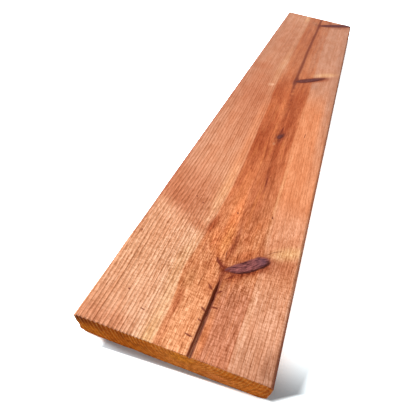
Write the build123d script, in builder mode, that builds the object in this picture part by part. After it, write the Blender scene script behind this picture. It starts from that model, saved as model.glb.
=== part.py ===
from build123d import *
import os

# A softwood decking board, planed all round and cross-cut square. Sizes are in millimetres.
# The origin is at the middle of the underside. +X runs along the board, from the end where
# the pith lies open to the other end, +Y is across it, and +Z is up.

# Planed board
length = 800
width = 145
thickness = 28
top_edge_radius = 4
bottom_edge_radius = 6

# Open pith: the board was sawn through the heart of the log, so the pith shows in the top
# face. It has dried and shrunk to a narrow crack that runs in from one end and closes.
pith_offset = -13.8
crack_width = 3.2
crack_depth = 3.2
crack_open_length = 54
crack_length = 66
crack_tip_scale = 0.15

# The cutting wedge starts this far outside the board, so that it leaves no skin behind.
overrun = 1


def crack_section(station, scale):
    """A V with its mouth above the top face, across the board at one station along it."""
    reach = overrun / crack_depth
    half_mouth = crack_width / 2 * (scale + reach)
    with BuildSketch(Plane.YZ.offset(station)) as section:
        with BuildLine():
            Polyline(
                (pith_offset - half_mouth, thickness + overrun),
                (pith_offset, thickness - crack_depth * scale),
                (pith_offset + half_mouth, thickness + overrun),
                close=True,
            )
        make_face()
    return section.sketch


near_end = -length / 2

with BuildPart() as decking_board:
    # The planed section: a broad rectangle with its long edges rounded off
    with BuildSketch(Plane.YZ.offset(near_end)) as section:
        Rectangle(width, thickness, align=(Align.CENTER, Align.MIN))
        fillet(section.vertices().group_by(Axis.Y)[-1], radius=top_edge_radius)
        fillet(section.vertices().group_by(Axis.Y)[0], radius=bottom_edge_radius)
    extrude(amount=length)

    # The open pith, at full width from the end and then closing to a point
    loft(
        sections=[
            crack_section(near_end - overrun, 1),
            crack_section(near_end + crack_open_length, 1),
            crack_section(near_end + crack_length, crack_tip_scale),
        ],
        ruled=True,
        mode=Mode.SUBTRACT,
    )

decking_board.part.label = "decking_board"

os.makedirs("parts", exist_ok=True)
export_step(decking_board.part, "parts/decking_board.step")
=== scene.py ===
# %% [markdown]
# # A planed softwood decking board
# The real thing is one piece of pine, sawn through the heart of a log, planed, and brushed
# with reddish oil. So it has one shape and two finishes: planed faces and sawn ends. What
# makes it look like wood is that every face is a cut through the same log. We therefore
# describe the log once, and let each face show what it cuts.

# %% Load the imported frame
import math

import bpy
import numpy as np
from mathutils import Matrix, Vector


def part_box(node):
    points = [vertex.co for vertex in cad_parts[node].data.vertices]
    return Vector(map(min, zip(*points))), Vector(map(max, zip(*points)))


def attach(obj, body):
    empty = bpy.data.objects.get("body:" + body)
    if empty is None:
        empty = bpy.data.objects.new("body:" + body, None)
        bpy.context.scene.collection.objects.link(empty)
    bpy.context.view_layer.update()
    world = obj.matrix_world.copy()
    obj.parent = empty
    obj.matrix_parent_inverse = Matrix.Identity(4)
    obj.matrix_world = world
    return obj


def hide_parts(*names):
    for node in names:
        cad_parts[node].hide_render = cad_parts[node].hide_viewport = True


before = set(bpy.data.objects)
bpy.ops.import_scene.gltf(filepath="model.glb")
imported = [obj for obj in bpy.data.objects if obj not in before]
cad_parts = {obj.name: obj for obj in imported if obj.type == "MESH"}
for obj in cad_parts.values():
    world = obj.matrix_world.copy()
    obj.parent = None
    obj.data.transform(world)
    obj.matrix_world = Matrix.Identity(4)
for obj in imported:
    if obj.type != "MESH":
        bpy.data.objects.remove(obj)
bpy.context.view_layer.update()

# %% [markdown]
# ## Sizes
# A joiner measures in millimetres, so the shape is worked out in them, and turned into
# Blender's metres only when a mesh is made. The outer sizes come from the frame.

# %% Sizes of the board
MM = 0.001
low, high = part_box("decking_board")
length, width, thickness = [size / MM for size in high - low]
near_end = low.x / MM
far_end = high.x / MM
half_width = width / 2
top_round = 4
bottom_round = 6
print(f"board {length:.0f} x {width:.0f} x {thickness:.0f} mm")

# %% [markdown]
# ## The camera
# The board was seen from close above its near end, so it shrinks strongly with distance. A
# wide lens close by gives that. A place, two angles and a roll are easier to read and to
# change than a matrix. The small shifts slide the picture without turning the camera.

# %% Set the camera
def add_object(name, data):
    """A new object in the scene."""
    made = bpy.data.objects.new(name, data)
    bpy.context.scene.collection.objects.link(made)
    return made


camera_place = Vector((-474.2, -38.8, 247.8)) * MM
turn_to_left = math.radians(9.796)
look_down = math.radians(48.077)
camera_roll = math.radians(10.506)

camera_data = bpy.data.cameras.new("camera")
camera_data.lens = 28.11
camera_data.shift_x = -0.0519
camera_data.shift_y = 0.0391
camera_data.clip_start = 0.01

level = math.cos(look_down)
ahead = level * math.cos(turn_to_left)
to_left = level * math.sin(turn_to_left)
direction = Vector((ahead, to_left, -math.sin(look_down)))
facing = direction.to_track_quat("-Z", "Y").to_matrix() @ Matrix.Rotation(camera_roll, 3, "Z")
camera = add_object("camera", camera_data)
camera.matrix_world = Matrix.Translation(camera_place) @ facing.to_4x4()
bpy.context.scene.camera = camera
print("camera looks along", [round(part, 3) for part in direction])

# %% [markdown]
# ## The log, first its pith
# Growth rings are rings about the pith, the tree's first soft core. In this board the pith
# runs just under the upper face. It drifts across the board, and in the middle it dips. Smooth
# steps and bumps are enough to say so, and they work on whole arrays at once.

# %% Where the pith runs
pith_near_side = -13.8
pith_far_side = -5
pith_cover = 0.7
pith_dip = 5
pith_crosses = (-330, 150)
pith_sinks = (-325, -230)
pith_rises = (-70, 25)


def smooth(x, start, end):
    """0 before start, 1 after end, and in between 3t^2 - 2t^3 of the way t from start to end.
    With its ends swapped it falls from 1 to 0 instead."""
    t = np.clip((x - start) / (end - start), 0, 1)
    return t * t * (3 - 2 * t)


def bell(x, middle, reach):
    """A smooth bump: e to the minus square of the distance from its middle over its reach."""
    return np.exp(-(((x - middle) / reach) ** 2))


def pith_line(x):
    """The pith's place across and up at x: a smooth step sideways, and one down and up."""
    across = pith_near_side + (pith_far_side - pith_near_side) * smooth(x, *pith_crosses)
    dip = smooth(x, *pith_sinks) * (1 - smooth(x, *pith_rises))
    return across, thickness - pith_cover - pith_dip * dip


print("pith at the near end:", [round(float(v), 1) for v in pith_line(near_end)], "mm")

# %% [markdown]
# ## The log's branches
# Each year's leader grows a whorl of branches, and each leaves a knot: a cone that starts at
# the pith and leans forward and outward. A face that cuts the cone lengthwise shows a spike,
# and one that cuts it across shows an oval. A distance to each cone says where the knots are,
# and how far away the grain still feels them.

# %% Knots as cones from the pith
near_whorl = -327
middle_whorl = 46
far_whorl = 348
least_radius = 0.3
# Start along the pith, heading and rise in degrees, full radius, the length over which that
# grows, reach, sideways sway and bluntness
knots = (
    (near_whorl, -53.5, 5, 5.7, 8.5, 31.5, -1.6, 0.62),
    (near_whorl, 48, -52, 6.5, 12, 80, 0, 0.45),
    (-127, -24, 24, 2.8, 6, 22, 0, 0.45),
    (middle_whorl, -46, 6.6, 5.6, 9, 58, 0, 0.45),
    (middle_whorl, 60, -58, 5.5, 12, 80, 0, 0.45),
    (far_whorl, -51.5, 2.5, 7, 12, 90, 0, 0.45),
    (far_whorl, 75, -50, 5.5, 12, 80, 0, 0.45),
)


def knot_distance(x, y, z, knot):
    """Signed distance to a knot's surface, and the way along and across its axis. With s the
    way along, the radius is 1 - e^(-s/growth) of the full one. Past its reach the knot ends,
    the sooner the blunter, and it sways sideways by half a sine."""
    start, heading, rise, full_radius, growth, reach, sway, bluntness = knot
    plan, up = math.radians(heading), math.radians(rise)
    pith_y, pith_z = pith_line(start)
    ahead = (x - start) * math.cos(plan) + (y - pith_y) * math.sin(plan)
    aside = (y - pith_y) * math.cos(plan) - (x - start) * math.sin(plan)
    along = ahead * math.cos(up) + (z - pith_z) * math.sin(up)
    above = (z - pith_z) * math.cos(up) - ahead * math.sin(up)
    aside = aside - sway * np.sin(np.clip(along / reach, 0, 1) * np.pi)
    radius = full_radius * (1 - np.exp(-np.maximum(along, 0) / growth)) + least_radius
    past_end = bluntness * np.maximum(along - reach, 0) + np.maximum(-along, 0)
    return np.sqrt(aside**2 + above**2 + past_end**2) - radius, along, aside


print(len(knots), "knots")

# %% [markdown]
# ## The log's rings and heartwood
# A ring number that grows with the distance from the pith is all that the rings need: each
# whole number is one year. Just after a whorl the trunk is thicker, and near a branch the
# rings climb up it, so both change the distance. Heartwood is what lies within a radius.
# Numbers here and in the painting are millimetres, and shares from 0 to 1.

# %% Rings, heartwood and distance from the knots
def wander(x, lengths, seed):
    """A gentle irregular wave: the mean of sines of these lengths with random phases."""
    phases = np.random.default_rng(seed).uniform(0, 2 * np.pi, len(lengths))
    return sum(np.sin(2 * np.pi * x / size + p) for size, p in zip(lengths, phases)) / len(lengths)


def ring_number(radius):
    """Years from the pith: a steady growth that widens slowly, and a swing every 40 mm."""
    swing = 0.29 * np.sin(2 * np.pi * radius / 40 - 0.65)
    return 0.80 + 0.409 * radius - 0.0007 * radius**2 + swing


def wood_at(x, y, z):
    """What the log is like at places x, y, z, as a dictionary of arrays. A place is measured
    from the pith and divided by the swelling. The nearest knot lifts the rings by e to the
    minus distance, and the heart is a smooth step over its wavy radius."""
    pith_y, pith_z = pith_line(x)
    swelling = 1 + 0.047 * bell(x, -285, 65) + 0.035 * bell(x, 95, 60)
    swelling = swelling + 0.03 * bell(x, 390, 50)
    across = (y - pith_y) / swelling + 0.5 * wander(x, (310, 170, 95), 4)
    down = (z - pith_z) / swelling
    radius = np.hypot(across, down)

    nearest = np.full((3, *np.shape(x)), 1e3)
    for knot in knots:
        found = np.stack(knot_distance(x, y, z, knot))
        nearest = np.where(found[0] < nearest[0], found, nearest)
    edge, knot_along, knot_aside = nearest
    climbed = radius - 3 * np.exp(-np.maximum(edge, 0) / 6)

    left_side = smooth(across, -6, 6)
    heart_radius = 26.2 - 2.9 * smooth(x, -330, -225) + 1.9 * bell(x, 20, 70)
    heart_radius = heart_radius + 3.2 * bell(x, -334, 24) * left_side
    heart_radius = heart_radius + 0.6 * wander(x, (140, 83, 47), 9)
    border = 0.8 + 1.4 * smooth(x, -150, 200)
    return {
        "across": across,
        "down": down,
        "rings": ring_number(np.maximum(climbed, 0)),
        "heart": smooth(radius, heart_radius + border, heart_radius - border),
        "past_heart": radius - heart_radius,
        "knot_edge": edge,
        "knot_along": knot_along,
        "knot_aside": knot_aside,
    }


sample = wood_at(np.array([near_end]), np.array([60]), np.array([thickness]))
print("rings from the pith to the left edge:", round(float(sample["rings"][0])))

# %% [markdown]
# ## The outline of the section
# The section is a rectangle with rounded corners, walked round once as a list of points and
# their outward directions. Points are closer together where the face shows fine detail: a
# wanted spacing is turned into places by adding up its inverse.

# %% Spread points by a wanted spacing
def spread(start, end, spacing):
    """Places from start to end at equal steps of the summed inverse of spacing(place)."""
    fine = np.linspace(start, end, 20001)
    density = 1 / spacing(fine)
    steps = (density[1:] + density[:-1]) / 2 * abs(fine[1] - fine[0])
    total = np.concatenate([[0], np.cumsum(steps)])
    count = int(round(total[-1]))
    return np.interp(np.linspace(0, total[-1], count + 1), total, fine)


def across_spacing(y):
    """Close round the pith, fairly close on the ringed left part, and wider on the rest."""
    near_pith = 0.36 + 0.10 * np.maximum(np.abs(y - pith_near_side) - 2.8, 0)
    return np.minimum(near_pith, np.where(y > 12, 0.66, 0.90))


top_reach = half_width - top_round
top_flat = spread(-top_reach, top_reach, across_spacing)
print(len(top_flat), "points across the upper face")

# %% Walk round the section
def arc(centre_y, centre_z, radius, start, end, count):
    """Points on a quarter circle, without its last point, and their outward directions."""
    angle = np.radians(np.linspace(start, end, count, endpoint=False))
    outward = np.stack([np.cos(angle), np.sin(angle)], axis=1)
    return np.array([centre_y, centre_z]) + radius * outward, outward


def straight(places_y, places_z, outward):
    """Points on one flat side, and the one outward direction that they share."""
    points = np.stack(np.broadcast_arrays(places_y, places_z), axis=1).astype(float)
    return points, np.broadcast_to(np.array(outward, float), points.shape)


side_top = thickness - top_round
side_points = np.linspace(bottom_round, side_top, 11, endpoint=False)
bottom_reach = half_width - bottom_round
bottom_flat = np.linspace(-bottom_reach, bottom_reach, 34, endpoint=False)
parts = [
    straight(bottom_flat, 0, (0, -1)),
    arc(bottom_reach, bottom_round, bottom_round, -90, 0, 5),
    straight(half_width, side_points, (1, 0)),
    arc(top_reach, side_top, top_round, 0, 90, 7),
    straight(top_flat[:0:-1], thickness, (0, 1)),
    arc(-top_reach, side_top, top_round, 90, 180, 7),
    straight(-half_width, side_points[::-1] + (side_points[1] - side_points[0]), (-1, 0)),
    arc(-bottom_reach, bottom_round, bottom_round, 180, 270, 5),
]
outline = np.concatenate([points for points, _ in parts])
outward = np.concatenate([directions for _, directions in parts])
print(len(outline), "points round the section")

# %% [markdown]
# ## Stations along the board
# The rows of the mesh are stations along the board: close at the near end, where the eye is,
# and at the knots, and a fraction of a millimetre apart on the sawn corners.

# %% Choose the stations
widest_gap = 6.0
fine_stretches = ((-400, -296, 0.95), (-132, -104, 1.6), (45, 92, 1.7), (342, 396, 1.9))


def along_spacing(x):
    """The least of the gaps that the fine stretches and ends ask for, growing away from them."""
    wanted = np.full(np.shape(x), widest_gap)
    for start, end, fine in fine_stretches:
        away = np.maximum(np.maximum(start - x, x - end), 0)
        wanted = np.minimum(wanted, fine + 0.075 * away)
    from_end = np.minimum(x - near_end, far_end - x)
    return np.minimum(wanted, 0.12 + 0.35 * from_end)


stations = spread(near_end, far_end, along_spacing)
print(len(stations), "stations along the board")

# %% [markdown]
# ## Relief of the planed faces
# A planed board isn't a perfect plane. The soft early wood of each year has sunk a little
# below the hard late wood, the open pith is a crack, a knot has a gap along one side, and the
# sawn corners are worn. All of these are depths below the true surface, so the board never
# grows past its real size.

# %% Depth of each kind of relief
crack_width = 3.2
crack_depth = 3.2
crack_open_length = 54
crack_length = 66


def ring_hollow(rings):
    """0 on the late wood and 1 in the early wood: a cosine of the ring number."""
    return 0.5 + 0.5 * np.cos(2 * np.pi * (rings - 0.42))


def pith_crack(x, y):
    """A V along the pith, at full depth from the near end and then closing to a point."""
    pith_y, _ = pith_line(x)
    run = x - near_end
    full = 1 - np.clip((run - crack_open_length) / (crack_length - crack_open_length), 0, 1)
    side = y - pith_y - 0.25 * wander(x, (23, 11, 7), 12)
    return crack_depth * np.maximum(full - np.abs(side) / (crack_width / 2), 0)


def knot_gap(wood):
    """A bell-shaped groove on the near side of a knot, where it has shrunk away from the wood,
    and a face a little lower than the wood around it."""
    along_knot = smooth(wood["knot_along"], 4, 9)
    near_side = smooth(wood["knot_aside"], 0.5, -2)
    groove = 0.5 * bell(wood["knot_edge"], -0.3, 0.7) * near_side * along_knot
    return groove + 0.10 * smooth(wood["knot_edge"], 0.2, -1.2)


def relief(x, y, z, wood):
    """Depth below the true surface: a thin skin, the rings' hollows times a strength, and the
    knots' gaps, all fading to none near the underside."""
    calm = smooth(wood["knot_edge"], 0, 2)
    strength = 0.10 + 0.16 * smooth(x, -150, -330) * smooth(y, 8, 20)
    strength = strength * (1 - 0.6 * wood["heart"])
    rings = 0.02 + strength * ring_hollow(wood["rings"]) * calm
    return (rings + knot_gap(wood)) * smooth(z, 2, 8)


def end_wear(x, y, wood):
    """How far the sawn corner is worn back: a quarter round whose radius is smaller where a
    hard ring meets the end, so that the corner is scalloped."""
    radius = 0.35 + (0.65 + 0.95 * smooth(y, 10, 30)) * ring_hollow(wood["rings"])
    from_end = np.minimum(x - near_end, far_end - x)
    into = np.clip(1 - from_end / radius, 0, 1)
    return radius * (1 - np.sqrt(1 - into**2))


deepest = float(pith_crack(near_end, pith_near_side))
print("the crack is", round(deepest, 1), "mm deep at the near end")


# %% [markdown]
# ## The board's mesh
# The outline is carried along the stations, which gives a tube of quads. Each end is closed by
# the same outline drawn in towards the middle line of the section. The columns of the upper
# face shift sideways with the pith, so that the mesh's own lines follow the grain.

# %% Carry the section along the board
def grain_shift(x, y, z):
    """How far a column moves sideways at x: the pith's drift, fading to none at the edges."""
    pith_y, _ = pith_line(x)
    fade = np.cos(np.pi / 2 * np.clip(y / top_reach, -1, 1)) ** 2
    at_pith = math.cos(math.pi / 2 * pith_near_side / top_reach) ** 2
    return (pith_y - pith_near_side) * fade / at_pith * smooth(z, thickness - 0.5, thickness)


def board_sides():
    """The tube's places: rows are stations, columns follow the outline."""
    x = np.repeat(stations[:, None], len(outline), axis=1)
    y = np.repeat(outline[None, :, 0], len(stations), axis=0)
    z = np.repeat(outline[None, :, 1], len(stations), axis=0)
    y = y + grain_shift(x, y, z)
    wood = wood_at(x, y, z)
    on_top = smooth(z, thickness - 1, thickness)
    depth = np.maximum(relief(x, y, z, wood), end_wear(x, y, wood))
    depth = np.maximum(depth, pith_crack(x, y) * on_top)
    y = y - depth * outward[None, :, 0]
    z = z - depth * outward[None, :, 1]
    return np.stack([x, y, z], axis=-1)


sides = board_sides()
print("tube of", sides.shape[0], "by", sides.shape[1], "points")

# %% Close the sawn ends
end_rings = 11
nearly_closed = 0.998
saw_depth = 0.06
spine_reach = half_width - thickness / 2


def end_face(rim, x_end, inward):
    """The rim drawn in towards the section's middle line, in equal steps, with the saw's fine
    ridges as a depth that is nothing at the rim."""
    middle_y = np.clip(rim[:, 1], -spine_reach, spine_reach)
    middle = np.stack([middle_y, np.full(len(rim), thickness / 2)], axis=1)
    way = np.linspace(0, nearly_closed, end_rings + 1)[1:, None, None]
    flat = rim[None, :, 1:] * (1 - way) + middle[None] * way
    ridges = 1 + np.sin(flat[..., 0] * 0.9 + flat[..., 1] * 2.1)
    saw = saw_depth * ridges * np.minimum(1, way[..., 0] * 6)
    return np.concatenate([(x_end + inward * saw)[..., None], flat], axis=-1)


near_cap = end_face(sides[0], near_end, 1)
far_cap = end_face(sides[-1], far_end, -1)
print("each end has", near_cap.shape[0], "rings of points")

# %% Put the board together
# The points are numbered as a grid whose last column joins its first. The corners of a quad
# are a point, the one beside it, and the same two in the next row.
layers = np.concatenate([near_cap[::-1], sides, far_cap])
points = layers.reshape(-1, 3)
grid = np.arange(len(points)).reshape(layers.shape[:2])
beside = np.roll(grid, -1, axis=1)
quads = np.stack([grid[:-1], beside[:-1], beside[1:], grid[1:]], axis=-1).reshape(-1, 4)
faces = quads.tolist() + [grid[0, ::-1].tolist(), grid[-1].tolist()]

mesh = bpy.data.meshes.new("board")
mesh.from_pydata((points * MM).tolist(), [], faces)
cap_quads = end_rings * len(outline)
is_end = np.zeros(len(faces), dtype=np.int32)
is_end[:cap_quads] = 1
is_end[-cap_quads - 2:] = 1
mesh.polygons.foreach_set("material_index", is_end)
mesh.polygons.foreach_set("use_smooth", np.ones(len(faces), dtype=bool))
mesh.update()
board = add_object("board", mesh)
mesh.calc_loop_triangles()
print("board has", len(mesh.loop_triangles), "triangles")

# %% [markdown]
# ## Painting the broad colours
# Oil soaks in unevenly: more in the heartwood and behind a knot, less in the outer wood. Such
# broad changes are painted point by point, as a finisher would: a short palette, a ground for
# each zone that runs from a light to a dark colour along the board, and soft oval stains on
# top. Colours are written from 0 to 255, as on a paint chart.

# %% The palette
palette = {
    "pale sapwood": (248, 190, 152),
    "rosy sapwood": (212, 138, 102),
    "warm sapwood": (246, 184, 150),
    "brown sapwood": (218, 158, 126),
    "amber": (235, 152, 105),
    "straw": (252, 204, 152),
    "cream": (254, 204, 170),
    "light heart": (250, 186, 142),
    "rose heart": (214, 146, 118),
    "deep heart": (186, 98, 60),
    "orange": (250, 158, 104),
    "glowing": (255, 184, 126),
    "rust": (166, 78, 44),
    "brown": (196, 108, 68),
    "resin": (140, 66, 44),
    "plum": (112, 60, 58),
    "dusty": (218, 163, 134),
    "dull": (178, 130, 107),
}
print(len(palette), "colours on the palette")

# %% Brushes for painting
def paint(colours, *layers):
    """The colours taken, by each layer in turn, a share of the way to the layer's colour."""
    for name, share in layers:
        colours = colours + (np.array(palette[name], float) - colours) * share[..., None]
    return colours


def tone(x, *stops):
    """A share along the board: straight runs between a few places and their shares."""
    places, shares = zip(*stops)
    return np.interp(x, places, shares)


def ground(light, dark, share):
    """A zone's ground: its light colour taken a share of the way to its dark colour."""
    return paint(np.broadcast_to(np.array(palette[light], float), (*share.shape, 3)), (dark, share))


def oval(x, y, middle_x, middle_y, long_reach, short_reach, heading=0):
    """A soft oval: with q the squared distance from its middle, measured in its long and short
    reach, it is e to the minus half of q + q^2."""
    turn = math.radians(heading)
    dx, dy = x - middle_x, y - middle_y
    along = (dx * math.cos(turn) + dy * math.sin(turn)) / long_reach
    aside = (dy * math.cos(turn) - dx * math.sin(turn)) / short_reach
    squared = along**2 + aside**2
    return np.exp(-0.5 * (squared + squared**2))


# %% Grounds of the outer wood
border_slant = 0.6


def left_ground(x, y, wood):
    """Outer wood left of the heart: pale and rosy bands whose borders slant, a straw band
    beside the heart at the near end, and a dusty edge."""
    slanted = x - border_slant * (y - 19)
    rosy = tone(
        slanted, (-400, 0.25), (-384, 0.1), (-370, 0), (-303, 0.12), (-288, 1), (-250, 0.9), (-214, 0.6),
        (-110, 0.85), (-35, 1.1), (55, 0.75), (105, 0.6), (190, 0.75), (300, 0.65), (350, 0.35), (400, 0.5),
    )
    rosy = rosy * (1 - 0.25 * bell(y, 18, 18) * smooth(x, -120, -190))
    beside_heart = bell(wood["past_heart"], 4.5, 5.5)
    straw = (0.4 + 0.5 * bell(x, -400, 16)) * smooth(x, -290, -330) + 0.55 * bell(x, -235, 45)
    straw = straw + 0.35 * bell(x, 100, 90) + 0.15 * smooth(x, 200, 300)
    return paint(
        ground("pale sapwood", "rosy sapwood", rosy),
        ("cream", 0.6 * bell(y, 25, 13) * smooth(x, -262, -300)),
        ("straw", straw * beside_heart),
        ("amber", 0.5 * smooth(x, -270, -200) * smooth(x, 0, -80) * beside_heart),
        ("dusty", 0.45 * smooth(y, 48, 68) * smooth(x, -240, -190)),
    )


def right_ground(x, y):
    """Outer wood right of the heart: warm behind the near end, amber in the middle, then
    browner, and dusty along its edge."""
    brown = tone(
        x, (-400, 0.85), (-384, 0.7), (-366, 0.1), (-325, 0.1), (-310, 0.1), (-296, 0.5), (-262, 0.15),
        (-150, 0.4), (-60, 0.5), (60, 0.9), (112, 0.55), (190, 0.8), (400, 0.8),
    )
    amber = 0.35 * smooth(x, -350, -320) + 0.55 * smooth(x, -262, -215)
    return paint(
        ground("warm sapwood", "brown sapwood", brown),
        ("amber", amber * smooth(x, 50, -40)),
        ("brown sapwood", 0.9 * bell(x, 30, 130) * smooth(y, -54, -64)),
        ("dull", 0.3 * smooth(y, -56, -66) * smooth(x, -250, -100)),
    )


# %% Ground of the heartwood
def heart_ground(x, y):
    """Heartwood: light at the near end, deepest round the middle knot. Long strips beside the
    pith are lighter or darker than the rest."""
    deep = tone(
        x, (-400, -0.08), (-366, 0), (-330, 0.16), (-290, 0.28), (-255, 0.46), (-215, 0.66), (-180, 0.86),
        (-142, 1), (-100, 0.96), (-50, 0.9), (0, 1), (60, 0.7), (120, 0.56), (280, 0.86), (400, 0.78),
    )
    near_part = smooth(x, -318, -350)
    middle_part = smooth(x, -300, -260) * smooth(x, 70, 20)
    far_part = smooth(x, 70, 140)
    rusty = 0.25 * middle_part * (1 - 0.7 * smooth(x, -200, -150))
    return paint(
        ground("light heart", "deep heart", deep),
        ("amber", 0.3 * near_part * bell(y, -5, 5)),
        ("rose heart", 0.85 * near_part * smooth(y, -15, -21)),
        ("brown", 0.35 * near_part * bell(y, 10, 3)),
        ("orange", 0.3 * middle_part * bell(y, -3, 8)),
        ("rust", rusty * bell(y, -21, 6)),
        ("amber", 0.4 * middle_part * bell(y, -32, 4) * smooth(x, -230, -180)),
        ("dusty", 0.5 * far_part * bell(y, -22, 7)),
    )


def zone_colours(x, y, wood):
    """The grounds joined at the heartwood's border. With distance all grow a little duller."""
    left_side = smooth(wood["across"], -5, 5)[..., None]
    outer = right_ground(x, y) * (1 - left_side) + left_ground(x, y, wood) * left_side
    colours = outer + (heart_ground(x, y) - outer) * wood["heart"][..., None]
    return paint(colours, ("dull", 0.22 * smooth(x, -20, 200)), ("dusty", 0.25 * smooth(x, 180, 360)))


# %% [markdown]
# ## Stains and pale places
# Resin, old bark and the grain round a knot leave stains, and hard places that took no oil stay
# pale. Each is a soft oval, placed one by one. They are grouped by where they are on the board.

# %% Stains at the near end
# x and y of the middle, long and short reach, colour, strength and, if it is turned, heading in
# degrees. A later one lies over an earlier one.
near_whorl_stains = (
    (-335, -13.4, 9, 2.6, "resin", 0.7),
    (-326, -13.2, 5, 3.6, "resin", 0.85, 24),
    (-320, -7.6, 5.4, 2.2, "resin", 0.75, 40),
    (-303, -12.2, 17, 2, "rust", 0.55, 2),
    (-296, -15.5, 14, 1.4, "rust", 0.4, 4),
    (-286, -36.6, 16, 2, "brown", 0.6, 4),
    (-331, -22, 9, 5, "rust", 0.55, -50),
    (-320, -35, 13, 3.4, "rust", 0.7, -55),
    (-306, -27, 13, 4.4, "brown", 0.6, -48),
    (-310, -55, 8, 14, "rust", 0.22, 14),
    (-303, -62, 5, 9, "brown", 0.2, 20),
    (-354, -43.5, 28, 2.4, "cream", 0.5),
    (-382, -18.8, 17, 2.2, "orange", 0.5),
    (-396, 53, 9, 20, "rosy sapwood", 0.5),
    (-396, -64, 6, 8, "dusty", 0.6),
    (-290.5, -60, 6.5, 17, "straw", 0.9, 32),
    (-289, 24, 9, 6, "brown", 0.4, 60),
    (-392, -67, 16, 7, "dull", 0.5),
)
print(len(near_whorl_stains), "stains at the near end")

# %% Streaks of the heartwood
heart_streaks = (
    (-300, 3, 15, 6, "orange", 0.6, 20),
    (-285, 11.5, 13, 3.2, "rust", 0.75, -6),
    (-366, 9.5, 10, 2.6, "rust", 0.32),
    (-340, 14, 16, 2.6, "rust", 0.15, 6),
    (-213, 6.5, 22, 3.4, "rust", 0.6),
    (-206, -19.5, 20, 2.2, "resin", 0.55, 3),
    (-280, -5, 40, 4.8, "orange", 0.95),
    (-295, -6.5, 17, 4.4, "glowing", 0.85),
    (-206, 2, 20, 5, "orange", 0.35),
    (-146, 6.5, 17, 3.6, "rust", 0.6),
    (-119, 5.5, 9, 3.6, "rust", 0.65),
    (-152, -8, 12, 4, "rust", 0.4),
    (-113, -6.8, 19, 2.6, "orange", 0.3),
    (-134, -11.8, 3.4, 1.6, "cream", 0.85),
    (-114, -15.6, 17, 4.6, "resin", 0.9, -4),
    (-90, -19.5, 16, 3.6, "rust", 0.7, -4),
    (-62, -14, 26, 5.4, "rust", 0.4),
    (-44, -3.5, 22, 3.4, "orange", 0.45),
    (-62, -12.6, 5, 1.8, "resin", 0.4),
    (-44, -11.8, 4, 1.8, "resin", 0.45),
    (-30, -11.2, 5, 2.4, "resin", 0.5),
    (-15, -10.2, 4, 2.4, "resin", 0.6),
    (-2, -9.2, 4, 2.6, "resin", 0.65),
    (11, -8.4, 4.5, 2.4, "resin", 0.7),
    (25, -7.8, 6, 2.2, "resin", 0.7, 3),
    (38, -7.2, 6, 2, "resin", 0.6, 3),
    (-16, 8, 26, 5, "brown", 0.5),
    (-250, -12.2, 30, 2.2, "rust", 0.32),
    (-290, -21.5, 9, 3.4, "brown", 0.45),
    (-178, 1, 36, 3, "rust", 0.3),
    (-176, -12, 12, 5, "amber", 0.3),
    (-271, -28, 8, 2.6, "amber", 0.5),
    (-152, -30.5, 13, 3, "amber", 0.35),
    (-152, -20, 12, 2.4, "rust", 0.3),
    (-276, -38, 20, 3, "cream", 0.4),
    (-215, -37, 60, 1.8, "straw", 0.3),
    (-272, 20.5, 8, 3, "brown", 0.25),
    (-100, 1, 65, 4, "rust", 0.5),
    (-130, -24.5, 55, 2.8, "amber", 0.45),
    (-238, -18, 15, 4.8, "rust", 0.35),
    (-266, -17, 18, 2.2, "rust", 0.4),
    (-291, -14.2, 19, 1.3, "resin", 0.5, 3),
    (-345, 10, 10, 4.4, "straw", 0.3),
    (-152, -4, 13, 2.4, "rust", 0.4),
    (-124, -20, 14, 2.2, "rust", 0.4),
    (-52, 10.5, 30, 4.4, "orange", 0.4),
    (-55, -9, 20, 2.6, "amber", 0.4),
    (-120, -5, 22, 3.6, "rust", 0.25),
    (-220, -12, 12, 5, "rust", 0.25),
    (-236, 8, 9, 3, "orange", 0.35),
    (-345, -11, 10, 4.4, "brown", 0.4),
    (-372, -16.8, 24, 1.6, "rust", 0.3),
)
print(len(heart_streaks), "streaks in the heartwood")

# %% Stains further on
far_stains = (
    (17.5, 26, 5.4, 3.6, "cream", 0.95, -35),
    (84, 18.5, 36, 5, "cream", 0.35, 3),
    (50, -6.5, 13, 3.8, "plum", 0.85, -6),
    (58, -17, 8, 4, "plum", 0.6, -45),
    (72, -40, 18, 5, "brown", 0.5, -50),
    (98, -47, 24, 7, "straw", 0.7, -50),
    (46, -36, 10, 6, "dull", 0.35),
    (76, 56, 16, 12, "brown", 0.35),
    (345, -6, 16, 3.8, "resin", 0.75),
    (356, 3, 16, 6, "dull", 0.5, 20),
    (378, 24, 22, 5, "straw", 0.5),
    (366, -50, 26, 7, "resin", 0.35, -51),
    (386, -24, 14, 8, "resin", 0.3),
)
stains = near_whorl_stains + heart_streaks + far_stains
print(len(stains), "stains in all")

# %% Paint all the layers
def paint_stains(colours, x, y, z):
    """The stains, one over the other. They fade with the depth below the upper face."""
    skin = smooth(z, thickness - 16, thickness - 4)
    for middle_x, middle_y, long_reach, short_reach, name, strength, *heading in stains:
        share = oval(x, y, middle_x, middle_y, long_reach, short_reach, *heading)
        colours = paint(colours, (name, strength * skin * share))
    return colours


def paint_round_knots(colours, wood):
    """The wood darkens towards a knot: fast on its far side, and slower on its near side."""
    outside = np.maximum(wood["knot_edge"], 0)
    near_side = smooth(wood["knot_aside"], 3, -3)
    dark = 0.55 * np.exp(-outside / 1.8) + 0.35 * near_side * np.exp(-outside / 3.4)
    return paint(colours, ("resin", dark))


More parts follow.
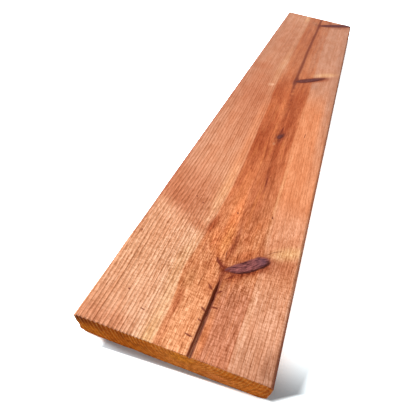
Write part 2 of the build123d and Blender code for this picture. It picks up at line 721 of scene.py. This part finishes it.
def face_colours(x, y, z, wood):
    """All the layers of the planed faces, with painted shade darkening the rounded long edges."""
    colours = paint_stains(zone_colours(x, y, wood), x, y, z)
    upper = smooth(z, thickness - 8, thickness - 3)
    # Painted shade on the rounded long edges: a dark strip on the right arris, which is turned from the
    # lamp, strongest at the near end, and a dark line along the left arris beyond the near end.
    right_arris_shade = smooth(y, -69.4, -71.6) * (1 - 0.6 * smooth(x, -375, -320))
    left_arris_shade = bell(np.hypot(y - 71.4, z - 26.8), 0, 2.2) * smooth(x, -380, -250)
    colours = paint(colours, ("resin", 0.7 * right_arris_shade * upper), ("resin", 0.75 * left_arris_shade))
    return np.clip(paint_round_knots(colours, wood), 0, 255)


# %% Grounds of the sawn ends
palette.update({
    "golden end": (238, 138, 56),
    "shaded end": (204, 102, 10),
    "bright end": (238, 146, 24),
    "reddish end": (228, 128, 76),
    "burnt end": (118, 44, 4),
})


def end_colours(y, z):
    """End grain is golden brown. It is darker on the left, darkest in the top left corner,
    with a few brighter and redder places."""
    return paint(
        ground("golden end", "shaded end", 0.85 * smooth(y, -4, 34)),
        ("burnt end", 0.4 * smooth(y, 14, 60) * smooth(z, 8, 26)),
        ("shaded end", 0.25 * smooth(y, -44, -60)),
        ("burnt end", 0.3 * smooth(y, -62, -72)),
        ("burnt end", 0.95 * oval(y, z, 73, 27, 10, 8, 20)),
        ("bright end", 0.6 * oval(y, z, -8, 20, 9, 6)),
        ("bright end", 0.4 * oval(y, z, 62, 10, 8, 7)),
        ("reddish end", 0.5 * oval(y, z, -34, 8, 12, 6)),
        ("shaded end", 0.6 * oval(y, z, -44, 19, 9, 6)),
    )


# %% [markdown]
# ## What the finish needs to know
# The mesh knows where each point lies in the log, so it can hand that to the material as
# attributes: smooth fields that the material turns into crisp lines. The place along, across
# and down in the straightened log makes fibres follow the grain round knots and bends. Lines
# and fibres only darken, so the painted colours are first lifted by what they will take away.

# %% Lift the painted colours
# The shares of red, green and blue that the fine detail leaves
leaves_near = np.array((0.762, 0.724, 0.688))
leaves_middle = np.array((0.74, 0.708, 0.668))
leaves_far = np.array((0.862, 0.865, 0.832))


def linear(colours):
    """Paint-chart values, 0 to 255, as the linear light that Blender mixes with."""
    c = np.asarray(colours, float) / 255
    return np.where(c <= 0.04045, c / 12.92, ((c + 0.055) / 1.055) ** 2.4)


def face_leaves(x, heart):
    """The shares left on the faces: they change with distance, and are less in the heart."""
    leaves = leaves_near + (leaves_middle - leaves_near) * smooth(x, -340, -270)[:, None]
    leaves = leaves + (leaves_far - leaves_middle) * smooth(x, -130, 100)[:, None]
    return leaves * (1 - (0.07 + 0.07 * smooth(x, -180, -300)) * heart)[:, None]


def lifted(colours, leaves):
    """Linear colours divided by what the fine detail leaves, with an alpha of 1."""
    return np.concatenate([linear(colours) / leaves, np.ones((len(colours), 1))], axis=1)


# %% Write the log's fields on the mesh
def line_strength(x, y, wood):
    """How plainly the year lines show: a sum of smooth steps and bumps, most on the left near
    the eye, and less in the heart and at the knots."""
    nearness = smooth(x, -300, -370)
    left = smooth(y, 10, 20) * (0.2 + 0.22 * nearness + 0.34 * bell(x, -160, 95))
    strength = 0.3 + left + smooth(y, -38, -44) * 0.2 * nearness
    strength = strength * (1 - 0.25 * bell(y, 26, 10))
    return strength * (1 - 0.3 * wood["heart"]) * smooth(wood["knot_edge"], 0, 1.5)


x, y, z = points.T
wood = wood_at(x, y, z)
fields = {
    "log_place": np.stack([x, wood["across"], wood["down"]], axis=1) * MM,
    "knot_place": np.stack([wood["knot_along"], wood["knot_aside"], wood["knot_edge"]], axis=1) * MM,
    "ring_number": wood["rings"],
    "heartwood": wood["heart"],
    "line_strength": line_strength(x, y, wood),
    "face_colour": lifted(face_colours(x, y, z, wood), face_leaves(x, wood["heart"])),
    "end_colour": lifted(end_colours(y, z), leaves_near),
}
kinds = {1: ("FLOAT", "value"), 3: ("FLOAT_VECTOR", "vector"), 4: ("FLOAT_COLOR", "color")}
for name, values in fields.items():
    kind, field = kinds[values.size // len(points)]
    stored = mesh.attributes.new(name, kind, "POINT")
    stored.data.foreach_set(field, values.astype(np.float32).ravel())
print("attributes:", [a.name for a in mesh.attributes if not a.name.startswith(".")])

# %% [markdown]
# ## Helpers for materials
# A material is a tree of nodes. Small helpers keep it short: one says which tree is worked
# on, one adds a node to it and fills its inputs, and the others are the few sums and blends
# that wood needs. Lengths in the materials are in metres.

# %% Nodes and sums
def work_on(new_tree):
    """Empties a tree. From here on, nodes are added to it."""
    global tree
    tree = new_tree
    tree.nodes.clear()


def fill(made, inputs):
    """Fills a node's inputs, by name or number, each with a value or another's output."""
    for name, value in inputs.items():
        if isinstance(value, bpy.types.NodeSocket):
            tree.links.new(value, made.inputs[name])
        else:
            made.inputs[name].default_value = value


def node(kind, inputs=None, **settings):
    """Adds a node with its own settings and its inputs."""
    made = tree.nodes.new(kind)
    for name, value in settings.items():
        setattr(made, name, value)
    fill(made, inputs or {})
    return made


def calculate(operation, first, *others):
    """One operation on numbers or outputs, carried on over all of them in turn."""
    for other in others:
        first = node("ShaderNodeMath", {0: first, 1: other}, operation=operation).outputs[0]
    return first


def times(*factors):
    """The product of numbers and outputs."""
    return calculate("MULTIPLY", *factors)


def plus(*parts):
    """The sum of numbers and outputs."""
    return calculate("ADD", *parts)


def minus(first, second):
    """The first less the second."""
    return calculate("SUBTRACT", first, second)


def ramp(value, start, end, low_value=0, high_value=1):
    """A smooth step of a value from start to end, between two output values."""
    inputs = dict(enumerate((value, start, end, low_value, high_value)))
    return node("ShaderNodeMapRange", inputs, interpolation_type="SMOOTHSTEP").outputs[0]


# %% Places, noise and blends
def on_vectors(operation, first, second):
    """One operation on two vectors."""
    return node("ShaderNodeVectorMath", {0: first, 1: second}, operation=operation).outputs[0]


def scaled_length(vector, factors):
    """The length of a vector whose parts are first multiplied by three factors."""
    parts = {0: on_vectors("MULTIPLY", vector, factors)}
    return node("ShaderNodeVectorMath", parts, operation="LENGTH").outputs["Value"]


def split(vector):
    """The three parts of a vector, as outputs."""
    return node("ShaderNodeSeparateXYZ", {0: vector}).outputs


def noise(place, stretch, detail=2, roughness=0.5):
    """Noise on a place that is stretched first: a large stretch gives small features."""
    inputs = {"Vector": on_vectors("MULTIPLY", place, stretch), "Scale": 1}
    return node("ShaderNodeTexNoise", {**inputs, "Detail": detail, "Roughness": roughness}).outputs[0]


def around_zero(*noise_settings):
    """Noise less its middle value."""
    return minus(noise(*noise_settings), 0.5)


def blend(base, other, amount, way="MIX"):
    """The base with another colour mixed in by an amount. Both are outputs or palette names."""
    pair = [(*linear(palette[c]).tolist(), 1) if isinstance(c, str) else c for c in (base, other)]
    inputs = {0: amount, 6: pair[0], 7: pair[1]}
    return node("ShaderNodeMix", inputs, data_type="RGBA", blend_type=way).outputs[2]


def darken(base, other, amount):
    """The base multiplied by another colour, by an amount from 0 to 1."""
    return blend(base, other, amount, "MULTIPLY")


# %% Groups, attributes and materials
def new_group(name, inputs, outputs):
    """An empty node group. Inputs are names with their defaults, None for a vector, and outputs
    are names of numbers. Gives what the group is given, and the node that takes its results."""
    work_on(bpy.data.node_groups.new(name, "ShaderNodeTree"))
    for socket, default in inputs.items():
        kind = "NodeSocketVector" if default is None else "NodeSocketFloat"
        made = tree.interface.new_socket(name=socket, in_out="INPUT", socket_type=kind)
        if default is not None:
            made.default_value = default
    for socket in outputs:
        tree.interface.new_socket(name=socket, in_out="OUTPUT", socket_type="NodeSocketFloat")
    return node("NodeGroupInput").outputs, node("NodeGroupOutput")


def use(group, inputs):
    """The outputs of one use of a group."""
    return node("ShaderNodeGroup", inputs, node_tree=group).outputs


def read(name, output="Fac"):
    """An attribute of the mesh, as the output of a node."""
    return node("ShaderNodeAttribute", attribute_name=name).outputs[output]


def new_material(name):
    """An empty material to work on."""
    made = bpy.data.materials.new(name)
    made.use_nodes = True
    work_on(made.node_tree)
    return made


def wood_surface(base, roughness, height, gloss, bump_height):
    """The shader of a finish: its colour, its roughness and gloss, and its bump."""
    bump = node("ShaderNodeBump", {"Height": height, "Strength": 0.6, "Distance": bump_height})
    look = {"Base Color": base, "Roughness": roughness, "Specular IOR Level": gloss}
    shader = node("ShaderNodeBsdfPrincipled", {**look, "Normal": bump.outputs[0]})
    node("ShaderNodeOutputMaterial", {"Surface": shader.outputs[0]})


# %% [markdown]
# ## Growth rings as a node group
# Both finishes show the same rings, one as lines and one as arcs. Each year darkens slowly
# towards its late wood and then starts again at once. The fraction of the ring number is the
# time of year, and a little noise keeps the lines from looking drawn.

# %% Build the rings group
def build_rings_group():
    """Late wood is a smooth rise over the last part of the year and a sharp fall at its end,
    times a random strength for the year and a noise along it."""
    given, result = new_group(
        "growth_rings",
        {"Ring Number": 0, "Place": None, "Line Width": 0.3, "Waviness": 0.16},
        ["Late Wood", "Year Tint"],
    )
    wobble = around_zero(given["Place"], (14, 260, 260), 3)
    shifted = plus(given["Ring Number"], times(wobble, given["Waviness"]))
    season = calculate("FRACT", shifted, 0)
    rise = ramp(season, minus(0.96, given["Line Width"]), 0.86)
    fall = ramp(season, 1, 0.92)
    broken = ramp(noise(given["Place"], (26, 420, 420), 3, 0.6), 0.28, 0.6, 0.55, 1)
    year = {"W": calculate("FLOOR", shifted, 0)}
    tint = node("ShaderNodeTexWhiteNoise", year, noise_dimensions="1D").outputs["Value"]
    plain = ramp(tint, 0, 0.8, 0.45, 1)
    fill(result, {"Late Wood": times(rise, fall, broken, plain), "Year Tint": tint})
    return tree


rings_group = build_rings_group()
print("built group", rings_group.name)

# %% [markdown]
# ## Fibres as a node group
# Under the rings lie the fibres: long on a planed face, dots on a sawn end. Noise that is
# stretched far along the log and little across it gives both at once. The planer leaves fine
# marks the other way, so where both are plain the face looks woven.

# %% Build the fibres group
def build_fibres_group():
    """Noises stretched along the log, and flecks where one passes a threshold. Chatter is
    stretched across the board."""
    names = ["Streak", "Fibre", "Dash", "Fleck", "Chatter"]
    given, result = new_group("fibres", {"Place": None}, names)
    place = given["Place"]
    values = {
        "Streak": noise(place, (22, 260, 260), 4, 0.6),
        "Fibre": noise(place, (170, 1500, 1500), 2, 0.6),
        "Dash": noise(place, (75, 880, 880), 3, 0.6),
        "Fleck": ramp(noise(place, (170, 760, 760), 1), 0.655, 0.73),
        "Chatter": noise(place, (760, 170, 170), 1),
    }
    fill(result, values)
    return tree


fibres_group = build_fibres_group()
print("built group", fibres_group.name)

# %% [markdown]
# ## Small dark marks as a node group
# Hair cracks, resin dots and dashes are thinner than the mesh is fine, so the material draws
# them. One group draws a thin bent oval on the upper face, and each mark is one use of it.

# %% Build the mark group
def build_mark_group():
    """Places are measured from the middle, turned to the heading and divided by half the
    length and width. The line bends by 1 minus the square of the way along."""
    sizes = {"Half Length": 0.003, "Half Width": 0.0004, "Bend": 0, "Roughness": 0}
    inputs = {"Place": None, "Middle": None, "Heading": 0, **sizes}
    given, result = new_group("dark_mark", inputs, ["Mask"])
    away = on_vectors("SUBTRACT", given["Place"], given["Middle"])
    turn = {"Vector": away, "Angle": given["Heading"]}
    turned = node("ShaderNodeVectorRotate", turn, rotation_type="Z_AXIS", invert=True)
    along, aside, above = split(turned.outputs[0])
    along = calculate("DIVIDE", along, given["Half Length"])
    arch = minus(1, times(along, along))
    aside = minus(aside, times(arch, given["Bend"]))
    aside = calculate("DIVIDE", aside, given["Half Width"])
    squared = plus(times(along, along), times(aside, aside))
    far = plus(calculate("SQRT", squared, 0), given["Roughness"])
    on_top = ramp(above, -0.004, -0.002)
    fill(result, {"Mask": times(ramp(far, 1.25, 0.5), on_top)})
    return tree


mark_group = build_mark_group()
print("built group", mark_group.name)

# %% Marks on the upper face
# x and y of the middle, heading in degrees, half length, half width and bend, in millimetres
marks = (
    # Hair cracks across the open pith
    (-386, -7.8, 82, 3.4, 0.85, 0.5),
    (-373.5, -11, 70, 2, 0.7, 0),
    (-364.6, -10.6, 62, 3.2, 1, 0.2),
    (-361, -17.6, -84, 3.2, 0.9, 0.3),
    (-347, -17, -45, 2.6, 0.95, 0),
    (-345.2, -9, 46, 3.2, 1.15, 0.3),
    # Where the near whorl starts
    (-330.5, -20.2, -37, 5.6, 0.8, -0.9),
    (-319.8, -7, 40, 4.6, 1.45, 0.6),
    (-323.6, -10.9, 58, 3, 1.1, 0),
    (-326.5, -16.4, -50, 3.2, 0.7, 0),
    (-311, -10.8, 8, 5, 0.5, 0.4),
    (-303, -12.8, 3, 6, 0.45, 0),
    (-294.5, -49, -52, 9, 0.28, 1.4),
    # Dashes of resin
    (-206, -20.2, 3, 9, 0.7, 0),
    (-99, -44.4, -3, 6.5, 0.45, 0),
    (-99, -15.4, -4, 9, 0.9, 0.4),
    # Dots
    (-314, 65, 20, 1.2, 0.8, 0),
    (-369, 46.5, 60, 1.2, 0.7, 0),
    (-380, 30, 80, 2, 0.5, 0),
    (-262, 29, 0, 1.3, 0.8, 0),
    (-261.5, -5.6, 30, 1.6, 0.9, 0),
    (-256, 37.5, 0, 1.1, 0.7, 0),
    (-254, -37.5, 15, 2, 0.8, 0),
)


def draw_marks(place):
    """The darkest of all the marks at a point, with slightly rough outlines."""
    shared = {"Place": place, "Roughness": around_zero(place, (900, 900, 900))}
    darkest = 0
    for x, y, heading, half_length, half_width, bend in marks:
        middle = {"Middle": (x * MM, y * MM, thickness * MM), "Heading": math.radians(heading)}
        size = {"Half Length": half_length * MM, "Half Width": half_width * MM, "Bend": bend * MM}
        mask = use(mark_group, {**shared, **middle, **size})["Mask"]
        darkest = calculate("MAXIMUM", darkest, mask)
    return darkest


print(len(marks), "marks")

# %% [markdown]
# ## The planed, oiled face
# The painted ground comes first, and what is finer darkens it. Oil stays in the soft places,
# so a dark line is the ground's own colour, deeper and redder: the ground multiplied by a
# reddish brown. Only the flames of the heartwood, the pith, knots and marks are mixed in. The
# order is streaks and flames, year lines, fibres, veins, pith, knots and marks.

# %% Tints of the planed face
palette.update({
    "oil": (212, 190, 168),
    "year line": (208, 182, 154),
    "flame": (250, 158, 100),
    "cloud": (226, 188, 150),
    "vein": (190, 118, 84),
    "mark": (128, 48, 32),
    "pith": (132, 64, 46),
    "crack lips": (150, 84, 58),
    # The crack's mouth and left wall are painted lighter and its right wall darker: painted light and shade
    # inside the crack.
    "crack mouth, painted light": (255, 188, 146),
    "crack bottom": (160, 70, 48),
    "left wall, painted light": (158, 78, 48),
    "right wall, painted shade": (126, 66, 50),
    "knot dark": (62, 20, 26),
    "knot light": (186, 110, 106),
    "knot end": (108, 80, 100),
    "far knot": (104, 54, 46),
    "knot rim": (86, 34, 28),
    "knot gap": (60, 20, 14),
})
print(len(palette), "colours on the palette now")

# %% Streaks and fibres
def streaks(base, place, along, heart, streak):
    """Soft dark streaks, flames in the heartwood, light and dark and weaker with distance, and
    clouds: each a noise between two values."""
    base = darken(base, "oil", ramp(streak, 0.62, 0.36, 0, 0.25))
    flame = noise(place, (18, 250, 70), 4, 0.6)
    lively = times(heart, ramp(along, -0.15, 0.05, 1, 0.45))
    base = blend(base, "flame", times(ramp(flame, 0.5, 0.66), lively, 0.5))
    base = darken(base, "oil", times(ramp(flame, 0.52, 0.36), lively, 0.7))
    cloud = noise(place, (40, 120, 60), 3, 0.55)
    return darken(base, "cloud", ramp(cloud, 0.6, 0.38, 0, 0.3))


def fine_fibres(base, along, heart, fibres):
    """Fibres, dashes, chatter and flecks, each a noise between two values. They are most crisp
    by the near knot, fainter with distance, and more crisp in the heart."""
    crisp = times(
        ramp(along, -0.37, -0.33, 0.9, 1.2),
        ramp(along, -0.31, -0.19, 1, 0.55),
        ramp(along, -0.15, 0.14, 1, 0.5),
        ramp(heart, 0, 1, 0.93, 1.25),
    )
    woven = ramp(along, -0.34, -0.25, 0.5, 0.15)
    steps = (
        ("Fibre", 0.56, 0.42, 0.7), ("Dash", 0.53, 0.39, 0.5), ("Chatter", 0.54, 0.4, woven),
        ("Fleck", 0, 1, 0.8),
    )
    for name, none, full, strength in steps:
        shown = ramp(fibres[name], none, full)
        base = darken(base, "oil", times(shown, crisp, strength))
    return base


def whorl_veins(base, board_place, log_place):
    """Thin veins of resin round the near whorl: where a noise crosses its middle value, inside
    a soft oval."""
    away = on_vectors("SUBTRACT", board_place, (-0.3, -0.001, 0.028))
    outward = scaled_length(away, (24, 62, 60))
    crossing = around_zero(log_place, (46, 210, 210), 3, 0.6)
    vein = ramp(calculate("ABSOLUTE", crossing, 0), 0.045, 0.005)
    broken = ramp(noise(log_place, (90, 300, 300)), 0.42, 0.6)
    return darken(base, "vein", times(vein, broken, ramp(outward, 1.1, 0.5), 0.6))


# %% Pith and knots
def pith_colours(base, place):
    """The pith: a dark line where it meets the face, and the open crack, with dark lips, two
    walls and a bottom that is lighter at its mouth. Inside the crack light and shade are painted:
    the bottom lighter at the mouth, the left wall, which lies in the lamp's shadow, lighter, and
    the right wall, which the lamp lights, darker."""
    along, across, down = split(place)
    uneven = around_zero(place, (110, 300, 300), 3, 0.6)
    radius = plus(scaled_length(place, (0, 1, 1)), times(uneven, 0.0012))
    line = times(ramp(radius, 0.0044, 0.0006), ramp(along, -0.02, 0.06), 0.88)
    base = blend(base, "pith", line)
    side = plus(calculate("ABSOLUTE", across, 0), times(uneven, 0.0006))
    open_part = times(ramp(along, -0.33, -0.345), ramp(down, -0.006, -0.004))
    base = blend(base, "crack lips", times(ramp(side, 0.0034, 0.001, 0, 0.5), open_part))
    half_mouth = ramp(along, -0.348, -0.33, 0.0019, 0.0006)
    crack = ramp(calculate("DIVIDE", side, half_mouth), 1.2, 0.75)
    # Painted light and shade inside the crack: lighter at the mouth, lighter on the shaded left wall,
    # darker on the lit right wall.
    bottom = blend("crack mouth, painted light", "crack bottom", ramp(along, -0.4, -0.35))
    inside = blend(bottom, "left wall, painted light", ramp(across, 0.0002, 0.001))
    inside = blend(inside, "right wall, painted shade", ramp(across, 0, -0.0009))
    return blend(base, inside, times(crack, open_part, 0.94))


def knot_colours(base, place, far_part):
    """The knots: a streaked purple-brown body, browner in the far knots, a darker rim, a
    greyer outer end and a nearly black gap on the near side."""
    along, aside, edge = split(place)
    grain = noise(place, (130, 800, 0), 4, 0.7)
    body = blend("knot dark", "knot light", ramp(grain, 0.32, 0.7))
    outer_end = times(ramp(along, 0.024, 0.038), ramp(edge, -0.0004, -0.0026), 0.4)
    body = blend(body, "knot end", outer_end)
    body = blend(body, "far knot", times(far_part, 0.7))
    ragged = around_zero(place, (190, 190, 0), 4, 0.65)
    edge = plus(edge, times(ragged, 0.0024))
    rim = times(ramp(edge, -0.0024, 0), ramp(aside, 0.002, -0.003, 0.15, 0.6))
    body = blend(body, "knot rim", rim)
    softness = plus(0.0007, times(far_part, 0.0009))
    base = blend(base, body, ramp(calculate("DIVIDE", edge, softness), 1, -1))
    gap = times(ramp(edge, -0.0016, -0.0003), ramp(edge, 0.001, 0))
    near_side = times(ramp(aside, 0.0002, -0.0026), ramp(along, 0.004, 0.012))
    strength = minus(0.8, times(far_part, 0.5))
    return blend(base, "knot gap", times(gap, near_side, strength))


# %% Make the planed face
def make_planed_face():
    """Colour, roughness and bump of the planed wood."""
    made = new_material("planed_oiled_face")
    board_place = node("ShaderNodeTexCoord").outputs["Object"]
    place = read("log_place", "Vector")
    along = split(place)[0]
    heart = read("heartwood")
    fibres = use(fibres_group, {"Place": place})
    rings = use(rings_group, {"Place": place, "Ring Number": read("ring_number")})
    late = times(rings["Late Wood"], read("line_strength"), ramp(along, -0.08, 0.15, 1, 0.4))
    marks_here = draw_marks(board_place)

    base = streaks(read("face_colour", "Color"), place, along, heart, fibres["Streak"])
    base = darken(base, "oil", ramp(rings["Year Tint"], 0, 1, 0, 0.22))
    base = darken(base, "year line", late)
    base = darken(base, "year line", times(late, 0.8))
    base = fine_fibres(base, along, heart, fibres)
    base = whorl_veins(base, board_place, place)
    base = pith_colours(base, place)
    base = knot_colours(base, read("knot_place", "Vector"), ramp(along, -0.28, -0.12))
    base = blend(base, "mark", times(marks_here, 0.85))

    height = plus(
        times(rings["Late Wood"], 0.4),
        times(fibres["Fibre"], 0.5),
        times(fibres["Chatter"], 0.4),
        times(marks_here, -0.3),
    )
    roughness = ramp(fibres["Streak"], 0.2, 0.8, 0.52, 0.68)
    wood_surface(base, roughness, height, gloss=0.1, bump_height=0.0003)
    return made


planed_face = make_planed_face()
mesh.materials.append(planed_face)
print("made", planed_face.name)

# %% [markdown]
# ## The sawn end
# End grain drinks oil, so it is darker and more golden than the faces. It shows the same rings
# as arcs, light in the early wood and dark half a year later, with fine pores between them.

# %% Make the sawn end
palette.update({
    "early arc": (255, 196, 110),
    "end streak": (196, 172, 140),
    "late arc": (176, 146, 112),
    "pore": (190, 164, 130),
})


def make_sawn_end():
    """Colour, roughness and bump of the end grain."""
    made = new_material("sawn_oiled_end")
    place = read("log_place", "Vector")
    years = read("ring_number")
    fibres = use(fibres_group, {"Place": place})
    shared = {"Place": place, "Waviness": 0.25}
    late = use(rings_group, {**shared, "Ring Number": years, "Line Width": 0.5})["Late Wood"]
    half_year_on = {"Ring Number": plus(years, 0.5), "Line Width": 0.35}
    early = use(rings_group, {**shared, **half_year_on})["Late Wood"]
    base = blend(read("end_colour", "Color"), "early arc", times(early, 0.75))
    base = darken(base, "end streak", ramp(fibres["Streak"], 0.62, 0.38, 0, 0.7))
    base = darken(base, "late arc", times(late, 0.4))
    base = darken(base, "pore", ramp(fibres["Fibre"], 0.6, 0.4, 0, 0.7))
    height = plus(fibres["Fibre"], times(late, 0.5))
    wood_surface(base, 0.85, height, gloss=0.03, bump_height=0.0004)
    return made


sawn_end = make_sawn_end()
mesh.materials.append(sawn_end)
print("made", sawn_end.name)

# %% [markdown]
# ## Light
# A plain studio: even light from all round, and one broad lamp from the left and a little
# behind, so that the near end and the right side fall into shade. Together they light a level
# surface so that its colour renders as it is written. The camera sees the sky as plain white.

# %% Light the scene
sky_strength = 0.38
lamp_from = Vector((0.12, 1, 0.8))
world = bpy.data.worlds.new("studio")
bpy.context.scene.world = world
world.use_nodes = True
work_on(world.node_tree)
ray = node("ShaderNodeLightPath").outputs["Is Camera Ray"]
lit, shown = [
    node("ShaderNodeBackground", {"Color": (1, 1, 1, 1), "Strength": strength}).outputs[0]
    for strength in (sky_strength, 1)
]
either = node("ShaderNodeMixShader", {0: ray, 1: lit, 2: shown})
node("ShaderNodeOutputWorld", {"Surface": either.outputs[0]})

height_share = lamp_from.z / lamp_from.length
sun_data = bpy.data.lights.new("broad_lamp", "SUN")
sun_data.energy = (1 - sky_strength) * math.pi / height_share
sun_data.angle = math.radians(8)
sun = add_object("broad_lamp", sun_data)
sun.matrix_world = lamp_from.to_track_quat("Z", "Y").to_matrix().to_4x4()
print("the lamp gives", round(sun_data.energy, 2), "W/m2")

# %% [markdown]
# ## Floor
# The board stands on white, with a thin wedge of shadow before its near end, a fan of shadow
# at the right corner and none along its sides. So the floor is plain to the light, but the
# camera sees another colour: cool in the shadow, and past a few lines so bright that the
# shadow is bleached away.

# %% Lay the floor
floor_reach = 6.0
floor_level = -0.0002
floor_mesh = bpy.data.meshes.new("floor")
sides_of_floor = ((-1, -1), (1, -1), (1, 1), (-1, 1))
corners = [(floor_reach * a, floor_reach * b, floor_level) for a, b in sides_of_floor]
floor_mesh.from_pydata(corners, [], [(0, 1, 2, 3)])
floor = add_object("floor", floor_mesh)
print("floor at", floor_level, "m")

# %% Paint the floor
plain_floor = (0.85, 0.85, 0.85, 1)
shadow_floor = (0.7, 0.77, 0.82, 1)
bleached_floor = (3.6, 4.1, 4.3, 1)
# Shares of x and of y in a place, and where along that sum the bleaching starts and is full
bleach_lines = (
    # Back from the near end, along the board
    (1, 0, -0.396, -0.35),
    # Forward from it: a wedge that tapers to the right corner, and the fan past that corner
    (1, 0.055, -0.4025, -0.4045),
    (1, 0.62, -0.445, -0.449),
    # Left of the wedge, and right of the fan
    (0, 1, 0.05, 0.06),
    (0, 1, -0.09, -0.104),
)

floor_mesh.materials.append(new_material("floor_paint"))
floor_x, floor_y, _ = split(node("ShaderNodeTexCoord").outputs["Object"])
bleach = 0
for share_x, share_y, start, full in bleach_lines:
    reached = plus(times(floor_y, share_y), times(floor_x, share_x))
    bleach = calculate("MAXIMUM", bleach, ramp(reached, start, full))
mixed = {0: bleach, 6: shadow_floor, 7: bleached_floor}
seen_colour = node("ShaderNodeMix", mixed, data_type="RGBA").outputs[2]
plain = node("ShaderNodeBsdfDiffuse", {"Color": plain_floor}).outputs[0]
seen = node("ShaderNodeBsdfDiffuse", {"Color": seen_colour}).outputs[0]
ray = node("ShaderNodeLightPath").outputs["Is Camera Ray"]
either = node("ShaderNodeMixShader", {0: ray, 1: plain, 2: seen})
node("ShaderNodeOutputMaterial", {"Surface": either.outputs[0]})
print(len(bleach_lines), "lines bound the shadow")

# %% [markdown]
# ## Colour management and the imported board
# The Standard view shows colours as they are written. The last cell hides the imported board, and hangs the
# new board under the root body.

# %% Finish
bpy.context.scene.view_settings.view_transform = "Standard"
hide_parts("decking_board")
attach(board, "root")
